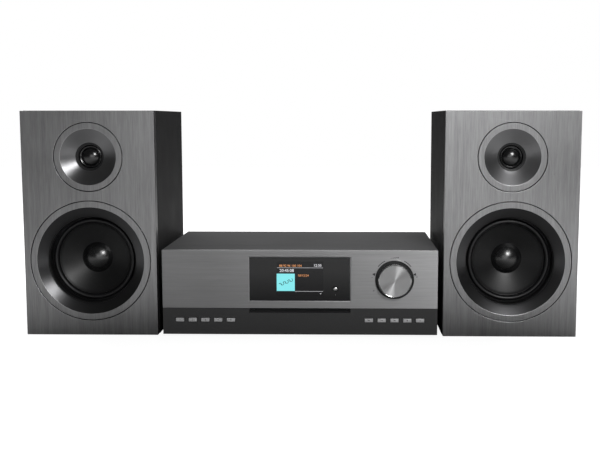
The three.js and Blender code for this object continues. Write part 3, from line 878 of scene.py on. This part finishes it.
def buildKnobMarks():
    y = faceY - 0.02 * mm
    thin = 0.04 * mm
    centre = Vector((knobMiddle.x, y, knobMiddle.z))
    arcRadius = 26 * mm
    pieces = []
    for name, start, sweep in (("turnLeftMark", 141, 24), ("turnRightMark", 39, -24)):
        pieces.append(drawArc(name, centre, arcRadius, 0.8 * mm, thin, start, sweep))
        angle = math.radians(start + sweep)
        tip = centre + Vector((math.cos(angle), 0, math.sin(angle))) * arcRadius
        bpy.ops.mesh.primitive_cylinder_add(
            vertices=3, radius=2.3 * mm, depth=thin, location=tip,
            rotation=(math.pi / 2, math.pi - angle - math.radians(90 if sweep > 0 else -90), 0))
        pieces.append(settle(bpy.context.object, name))
    for name, text, x, z, size in (
        ("quieterMark", "-", -27.6, 3.2, 5),
        ("louderMark", "+", 27.4, 3.4, 4.6),
        ("pushMark", "o", -25.5, -13.3, 4),
    ):
        pieces.append(addText(name, text, centre + Vector((x * mm, 0, z * mm)), size * mm, thin))
    for i in range(7):
        low = centre + Vector(((i * 1.5 - 5) * mm, 0, 26.6 * mm))
        pieces.append(addBlock("levelMark", low, low + Vector((0.8 * mm, thin, (0.5 + i * 0.2) * mm))))
    marks = joinPieces(pieces, "knobMarks")
    finish(marks, "darkInk", "receiver", "brushed_aluminium")


buildCover()
buildFascia()
buildLowerFascia()
buildKeys()
buildWindow()
buildScreen()
buildTileMark()
buildKnob()
buildKnobMarks()
print("receiver front is built")

rear = {
    "socketReach": 9 * mm,
    "thickness": 1.7 * mm,
    "ventCount": 9,
    "ventFirst": -84 * mm,
    "ventPitch": 8 * mm,
    "ventWidth": 3 * mm,
    "ventLow": 62 * mm,
    "ventHigh": 92 * mm,
    "socketHeight": 78 * mm,
    "aerialX": -20 * mm,
    "cutoutGap": 0.3 * mm,
}
terminals = {"halfWidth": 28 * mm, "halfHeight": 13 * mm, "depth": 4 * mm, "proud": 1.6 * mm,
             "edge": 0.6 * mm, "pitch": 12 * mm, "postReach": 10.3}
inlet = {"halfWidth": 11 * mm, "halfHeight": 8 * mm, "depth": 9 * mm, "proud": 1.5 * mm,
         "openWidth": 8.5 * mm, "openHeight": 5 * mm, "openDepth": 7 * mm,
         "pinSpread": 5 * mm, "pinRadius": 1.2 * mm, "pinLength": 7 * mm}
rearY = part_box("rear_panel")[1].y - rear["socketReach"]


def buildRearPanel():
    low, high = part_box("rear_panel")
    front = rearY - rear["thickness"]
    panel = addBlock("rearPanel", (low.x, front, low.z), (high.x, rearY, high.z))
    cutters = []
    for i in range(rear["ventCount"]):
        x = rear["ventFirst"] + i * rear["ventPitch"]
        cutters.append(addBlock("vent", (x, front - hole, rear["ventLow"]),
                                (x + rear["ventWidth"], rearY + hole, rear["ventHigh"])))
    for node, part in (("speaker_terminals", terminals), ("mains_inlet", inlet)):
        halfWidth = part["halfWidth"] + rear["cutoutGap"]
        halfHeight = part["halfHeight"] + rear["cutoutGap"]
        cutters.append(addPlate("cutout", middle(node), halfWidth, front - hole, rearY + hole,
                                halfHeight))
    cutAway(panel, cutters)
    soften(panel, 0.35 * mm, 2)
    finish(panel, "rear", "receiver", "rear_steel", "rear_panel")
    corners = [(-162, 14), (-162, 100), (162, 14), (162, 100), (0, 102), (0, 10), (60, 33), (-114, 30)]
    for i, (x, z) in enumerate(corners):
        placeScrew(f"rearScrew{i + 1}", (x * mm, rearY, z * mm), "rear", "receiver", "bare_steel")


def buildSockets():
    height = rear["socketHeight"]
    thread = [(2.1, 0)]
    thread += [(4.7 if i % 2 else 4.2, 0.4 + i * 0.5) for i in range(17)]
    thread += [(4.0, 9), (2.1, 9)]
    centre = (rear["aerialX"], rearY, height)
    aerial = turnPiece("aerialSocket", centre, thread, 48)
    core = turnPiece("aerialCore", centre, [(2.1, 0), (2.1, 8.2), (0.6, 8.2), (0.6, 0)], 32)
    finish(aerial, "steel", "receiver", "bare_steel")
    finish(core, "white", "receiver", "black_plastic")
    ring = [(5.4, 0), (5.4, 1.2), (4.6, 1.4), (4.15, 1.5), (4.15, 8), (3.5, 8), (3.5, 1), (3.5, 0)]
    insert = [(3.4, 0), (3.4, 7.4), (1.7, 7.4), (1.7, 2), (1.7, 0)]
    for name, x, colour in (("rightLine", 30, "red"), ("leftLine", 48, "white")):
        centre = (x * mm, rearY, height)
        outer = turnPiece(name + "Socket", centre, ring, 48)
        inner = turnPiece(name + "Insert", centre, insert, 32)
        finish(outer, "gold", "receiver", "bare_steel")
        finish(inner, colour, "receiver", "black_plastic")


def addPost(name, centre, colour, reach, body):
    # a metal collar, then a fluted nut that is screwed down on it
    collar = turnPiece(name + "Collar", centre, [(3.6, -1), (4.4, -1), (4.4, 2), (3.6, 2)], 32)
    finish(collar, "gold", body, "bare_steel")
    nut = [(1.9, 2.2), (4.7, 2.2), (4.9, 2.6), (4.9, reach - 0.7), (4.3, reach - 0.1), (1.9, reach - 0.1)]
    cap = turnPiece(name + "Nut", centre, nut, 40)
    flutes = []
    fluteCount, fluteRadius = 10, 5.2
    for i in range(fluteCount):
        angle = i * math.tau / fluteCount
        outward = Vector((math.cos(angle) * fluteRadius, reach / 2 + 1.4, math.sin(angle) * fluteRadius))
        place = Vector(centre) + outward * mm
        flutes.append(addRod("flute", place, 0.75 * mm, (reach - 3.4) * mm, steps=12))
    cutAway(cap, flutes)
    smooth(cap)
    finish(cap, colour, body, "black_plastic")
    rod = [(0.05, -1), (1.85, -1), (1.85, reach), (0.05, reach)]
    pin = turnPiece(name + "Pin", centre, rod, 24, closed=False)
    finish(pin, "gold", body, "bare_steel")


def buildTerminals():
    place = middle("speaker_terminals")
    faceOut = rearY + terminals["proud"]
    base = addPlate("terminalBase", place, terminals["halfWidth"], rearY - terminals["depth"], faceOut,
                    terminals["halfHeight"])
    soften(base, terminals["edge"], 3)
    finish(base, "plastic", "receiver", "black_plastic", "speaker_terminals")
    for i, colour in enumerate(("red", "plastic", "red", "plastic")):
        centre = (place.x + (i - 1.5) * terminals["pitch"], faceOut, place.z)
        addPost(f"receiverPost{i + 1}", centre, colour, terminals["postReach"], "receiver")


def buildInlet():
    place = middle("mains_inlet")
    body = addPlate("mainsInlet", place, inlet["halfWidth"], rearY - inlet["depth"],
                    rearY + inlet["proud"], inlet["halfHeight"])
    socket = addPlate("socket", place, inlet["openWidth"], rearY - inlet["openDepth"], rearY + hole,
                      inlet["openHeight"])
    roundEdges(socket, 3 * mm, 5)
    cutAway(body, [socket])
    soften(body, 0.4 * mm, 2)
    finish(body, "plastic", "receiver", "black_plastic", "mains_inlet")
    for i, x in enumerate((-inlet["pinSpread"], inlet["pinSpread"])):
        centre = (place.x + x, rearY - 4 * mm, place.z)
        pin = addRod(f"mainsPin{i + 1}", centre, inlet["pinRadius"], inlet["pinLength"], steps=24)
        soften(pin, 0.4 * mm, 3)
        finish(pin, "steel", "receiver", "bare_steel")


def buildFeet():
    outline = [(12, 2.2), (12, 0.6), (11.6, 0.15), (11, 0), (5, 0), (4.6, 0.4), (4.6, 1.2), (0.05, 1.2)]
    first = None
    for end in ("front", "rear"):
        for side in sides:
            node = f"foot_{end}_{side}"
            place = middle(node)
            name = end + side.capitalize() + "Foot"
            if first is None:
                foot = turnPiece(name, (place.x, place.y, 0), outline, 64, "Z", closed=False)
                paint(foot, "rubber")
                model, first = foot, place
            else:
                foot = copyPiece(model, name, place - first)
            handOver(foot, "receiver", "black_rubber", node)


buildRearPanel()
buildSockets()
buildTerminals()
buildInlet()
buildFeet()
print("receiver rear is built")

speaker = {
    "rebate": 4 * mm,
    "wooferRebate": 75.0 * mm,
    "wooferHole": 62 * mm,
    "tweeterRebate": 42.7 * mm,
    "tweeterHole": 35 * mm,
    "boardThickness": 12 * mm,
    "portHole": 27.5 * mm,
    "baffleEdge": 0.35 * mm,
    "cabinetEdge": 0.8 * mm,
}
# half widths and half heights of the terminal cup, from its rim inward
cupShape = {
    "rimWidth": 35 * mm,
    "rimHeight": 25 * mm,
    "tubWidth": 31 * mm,
    "tubHeight": 21 * mm,
    "tubDepth": 22 * mm,
    "wellWidth": 28 * mm,
    "wellHeight": 18 * mm,
    "wellDepth": 17 * mm,
    "gap": 0.3 * mm,
    "postPitch": 24 * mm,
    "postReach": 17.2,
    "screwX": 31.5 * mm,
    "screwZ": 21.5 * mm,
}
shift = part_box("right_baffle")[0].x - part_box("left_baffle")[0].x
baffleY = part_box("left_baffle")[0].y
wooferMiddle = middle("left_woofer_trim")
tweeterMiddle = middle("left_tweeter_horn")

# outlines are [radius, depth behind the baffle's face], in millimetres
trimOutline = [(74.1, 3.7), (74.1, 0.35), (73.75, 0), (66.9, 0), (66.6, 0.12), (62.6, 2.45), (58.4, 4.95),
               (55.0, 7.1), (54.6, 7.6), (54.5, 9.6), (61.4, 9.6), (61.4, 3.7)]
frameOutline = [(61.4, 9.9), (54.2, 9.9), (53.7, 10.4), (53.7, 20.8), (53.3, 22.7), (51, 22.7), (36, 55),
                (16.5, 55), (16.5, 58), (40, 58), (56.5, 25), (56.5, 12.9), (61.4, 12.9)]
coneOutline = [(44.8, 21.9), (44.2, 22.1), (43.6, 22.9), (41, 24.3), (36, 26.7), (30, 29.4), (24, 31.9),
               (19.6, 33.6), (13.4, 36), (13.4, 62), (12.6, 62), (12.6, 36.9), (19, 34.7), (30, 30.4),
               (43, 24.4), (44.1, 24.9), (44.1, 27), (44.8, 27)]
capOutline = [(0.05, 24.2), (3, 24.35), (6, 24.9), (9, 25.85), (12, 27.25), (14.6, 28.95), (16.8, 30.9),
              (18.6, 32.9), (19.5, 34.1), (19.5, 34.5)]
hornOutline = [(41.8, 3.7), (41.8, 0.35), (41.45, 0), (34.8, 0), (34.5, 0.12), (30, 2.4), (26, 4.45),
               (22, 6.45), (19, 7.9), (17.7, 8.4), (17.5, 8.7), (17.5, 13), (34.4, 13), (34.4, 3.7)]
throatOutline = [(17.45, 8.6), (16.9, 8.7), (16.7, 9.1), (16.2, 9.2), (16.0, 10.0), (15.5, 10.1),
                 (15.3, 10.9), (14.8, 11), (14.6, 13.2), (17.45, 13.2)]
domeOutline = [(0.05, 8.6), (2.5, 8.7), (5, 9.15), (7.2, 9.95), (9.2, 11.1), (10.8, 12.5), (11.6, 13.4),
               (12.2, 13.0), (12.9, 12.75), (13.6, 13), (14.2, 13.7), (14.2, 14.1)]
tubeOutline = [(20, -84), (20, -12), (20.4, -9), (21.5, -5.6), (23.2, -2.2), (25.2, 0.2), (26.4, 1.2),
               (29.2, 1.2), (30, 0.9), (30, 0.3), (27, 0.3), (27, -8), (22, -14), (22, -84)]


def surroundOutline():
    # a half roll, with a short skirt that the cone's lip slides past
    def roll(size, rise, angles):
        return [(48.5 + size * math.cos(math.radians(a)), 21.8 - rise * math.sin(math.radians(a)))
                for a in angles]

    outer = [(53.4, 22.5), (53.4, 21.6), (53.1, 21.4), (52.2, 21.4)]
    front = roll(3.3, 4.3, range(0, 181, 12))
    skirt = [(45.2, 27.2), (45.75, 27.2)]
    back = roll(2.7, 3.6, range(180, -1, -15))
    return outer + front + skirt + back + [(52, 22.5)]


def bothSides(piece, name, body, slotName, node=None):
    # the piece is the left speaker's; the right one gets a copy
    piece.name = "left" + name
    twin = copyPiece(piece, "right" + name, (shift, 0, 0))
    for side, each in zip(sides, (piece, twin)):
        handOver(each, f"{side}_{body}", slotName)
        if node:
            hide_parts(f"{side}_{node}")


def buildCabinet():
    low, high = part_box("left_cabinet")
    wall = speaker["boardThickness"]
    shell = addBlock("cabinet", low, high)
    inside = addBlock("inside", (low.x + wall, low.y - hole, low.z + wall),
                      (high.x - wall, high.y - wall, high.z - wall))
    port, cup = middle("left_port_tube"), middle("left_terminal_cup")
    portHole = addRod("portHole", (port.x, high.y, port.z), speaker["portHole"], 3 * wall)
    gap = cupShape["gap"]
    cupHole = addPlate("cupHole", cup, cupShape["tubWidth"] + gap, high.y - 2 * wall, high.y + hole,
                       cupShape["tubHeight"] + gap)
    cutAway(shell, [inside])
    cutAway(shell, [portHole, cupHole])
    soften(shell, speaker["cabinetEdge"], 3)
    paint(shell, "cabinet")
    bothSides(shell, "Cabinet", "speaker", "cabinet_board", "cabinet")


def buildBaffle():
    low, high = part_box("left_baffle")
    panel = addBlock("baffle", low, high)
    rebates, bores = [], []
    for place, name in ((wooferMiddle, "woofer"), (tweeterMiddle, "tweeter")):
        depth = speaker["rebate"]
        centre = (place.x, low.y + (depth - hole) / 2, place.z)
        rebates.append(addRod("rebate", centre, speaker[name + "Rebate"], depth + hole, steps=128))
        bores.append(addRod("bore", centre, speaker[name + "Hole"], 8 * hole, steps=96))
    cutAway(panel, rebates)
    cutAway(panel, bores)
    soften(panel, speaker["baffleEdge"], 3)
    paint(panel, "baffle", "plastic", "cutEdge")
    inner = low.y + 0.5 * mm

    def nearRebate(centre):
        return any(
            math.hypot(centre.x - place.x, centre.z - place.z) < speaker[name + "Rebate"] + 1.3 * mm
            for place, name in ((wooferMiddle, "woofer"), (tweeterMiddle, "tweeter"))
        )

    def onRim(centre, normal):
        return -0.99 < normal.y < -0.2 and centre.y < inner and nearRebate(centre)

    # the rebate's walls and floor get black plastic, a painted shade that darkens the gap round each trim
    paintWhere(panel, 1, lambda centre, normal: centre.y > inner and nearRebate(centre))
    paintWhere(panel, 2, onRim)
    bothSides(panel, "Baffle", "speaker", "brushed_baffle", "baffle")


# radii, in millimetres, between which a trim has a machined edge that shines
brightRings = {
    "woofer_trim": {"flare": "flare", "edges": ((66.6, 66.9), (73.75, 74.05))},
    "tweeter_horn": {"flare": "horn", "edges": ((34.5, 34.8), (41.45, 41.75))},
}


def onRing(facePlace, normal, centre, node):
    radius = math.hypot(facePlace.x - centre.x, facePlace.z - centre.z) / mm
    return normal.y < -0.5 and any(low < radius < high for low, high in brightRings[node]["edges"])


def buildDrivers():
    low = Vector((wooferMiddle.x, baffleY, wooferMiddle.z))
    high = Vector((tweeterMiddle.x, baffleY, tweeterMiddle.z))
    plan = (
        ("WooferTrim", low, trimOutline, 160, "baffle", "speaker", "brushed_trim", "woofer_trim"),
        ("WooferFrame", low, frameOutline, 128, "basket", "speaker", "black_plastic", "woofer_basket"),
        ("WooferSurround", low, surroundOutline(), 128, "rubber", "speaker", "black_rubber",
         "woofer_surround"),
        ("WooferCone", low, coneOutline, 128, "cone", "cone", "cone", "woofer_cone"),
        ("TweeterHorn", high, hornOutline, 128, "horn", "speaker", "horn_metal", "tweeter_horn"),
        ("TweeterThroat", high, throatOutline, 96, "plastic", "speaker", "black_plastic", None),
    )
    for name, centre, outline, steps, look, body, slotName, node in plan:
        piece = turnPiece(name, centre, outline, steps)
        paint(piece, look)
        if node in brightRings:
            paint(piece, "baffle", brightRings[node]["flare"], "cutEdge")
            paintWhere(piece, 1, lambda facePlace, normal: normal.y > -0.985)
            paintWhere(piece, 2, lambda facePlace, normal: onRing(facePlace, normal, centre, node))
        bothSides(piece, name, body, slotName, node)
    for name, centre, outline, look, body, slotName, node in (
        ("DustCap", low, capOutline, "dustCap", "cone", "cone", None),
        ("TweeterDome", high, domeOutline, "dome", "dome", "dome_gloss", "tweeter_dome"),
    ):
        piece = turnPiece(name, centre, outline, 96, closed=False)
        paint(piece, look)
        bothSides(piece, name, body, slotName, node)


def buildSpeakerRear():
    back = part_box("left_cabinet")[1].y
    port = middle("left_port_tube")
    tube = turnPiece("portTube", (port.x, back, port.z), tubeOutline, 96)
    paint(tube, "plastic")
    bothSides(tube, "PortTube", "speaker", "black_plastic", "port_tube")

    cup = middle("left_terminal_cup")
    rim = addPlate("terminalCup", cup, cupShape["rimWidth"], back + 0.3 * mm, back + 2.3 * mm,
                   cupShape["rimHeight"])
    roundEdges(rim, 0.7 * mm, 3)
    tub = addPlate("tub", cup, cupShape["tubWidth"], back - cupShape["tubDepth"], back + 1 * mm,
                   cupShape["tubHeight"])
    runModifier(rim, "BOOLEAN", object=tub, operation="UNION", solver="EXACT")
    bpy.data.objects.remove(tub)
    well = addPlate("well", cup, cupShape["wellWidth"], back - cupShape["wellDepth"], back + hole,
                    cupShape["wellHeight"])
    roundEdges(well, 4 * mm, 5)
    cutAway(rim, [well])
    smooth(rim)
    paint(rim, "plastic")
    bothSides(rim, "TerminalCup", "speaker", "black_plastic", "terminal_cup")
    for side, dx in zip(sides, (0, shift)):
        for i, colour in enumerate(("red", "plastic")):
            centre = (cup.x + dx + (i - 0.5) * cupShape["postPitch"], back - 16 * mm, cup.z)
            addPost(f"{side}Post{i + 1}", centre, colour, cupShape["postReach"], f"{side}_speaker")
        for i in range(4):
            x = cup.x + dx + (-cupShape["screwX"] if i % 2 else cupShape["screwX"])
            z = cup.z + (-cupShape["screwZ"] if i < 2 else cupShape["screwZ"])
            placeScrew(f"{side}CupScrew{i + 1}", (x, back + 2.2 * mm, z), "rear", f"{side}_speaker",
                       "bare_steel")


buildCabinet()
buildBaffle()
buildDrivers()
buildSpeakerRear()
print("speakers are built")

# these nodes keep their own mesh and only get a look
plainNodes = {
    "base_chassis": "steel", "display_module": "board", "encoder_body": "steel",
    "encoder_rotor": "plastic", "encoder_shaft": "steel", "control_board": "board",
    "main_board": "board", "power_transformer": "winding", "cd_loader_frame": "steel",
    "cd_spindle": "plastic", "cd_clamper": "plastic", "cd_pickup": "plastic",
    "cd_feed_roller": "rubber",
}
for side in sides:
    plainNodes[f"{side}_woofer_magnet"] = "ferrite"
    plainNodes[f"{side}_tweeter_magnet"] = "ferrite"
for node, look in plainNodes.items():
    paint(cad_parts[node], look)

bpy.data.objects.remove(screwModel)
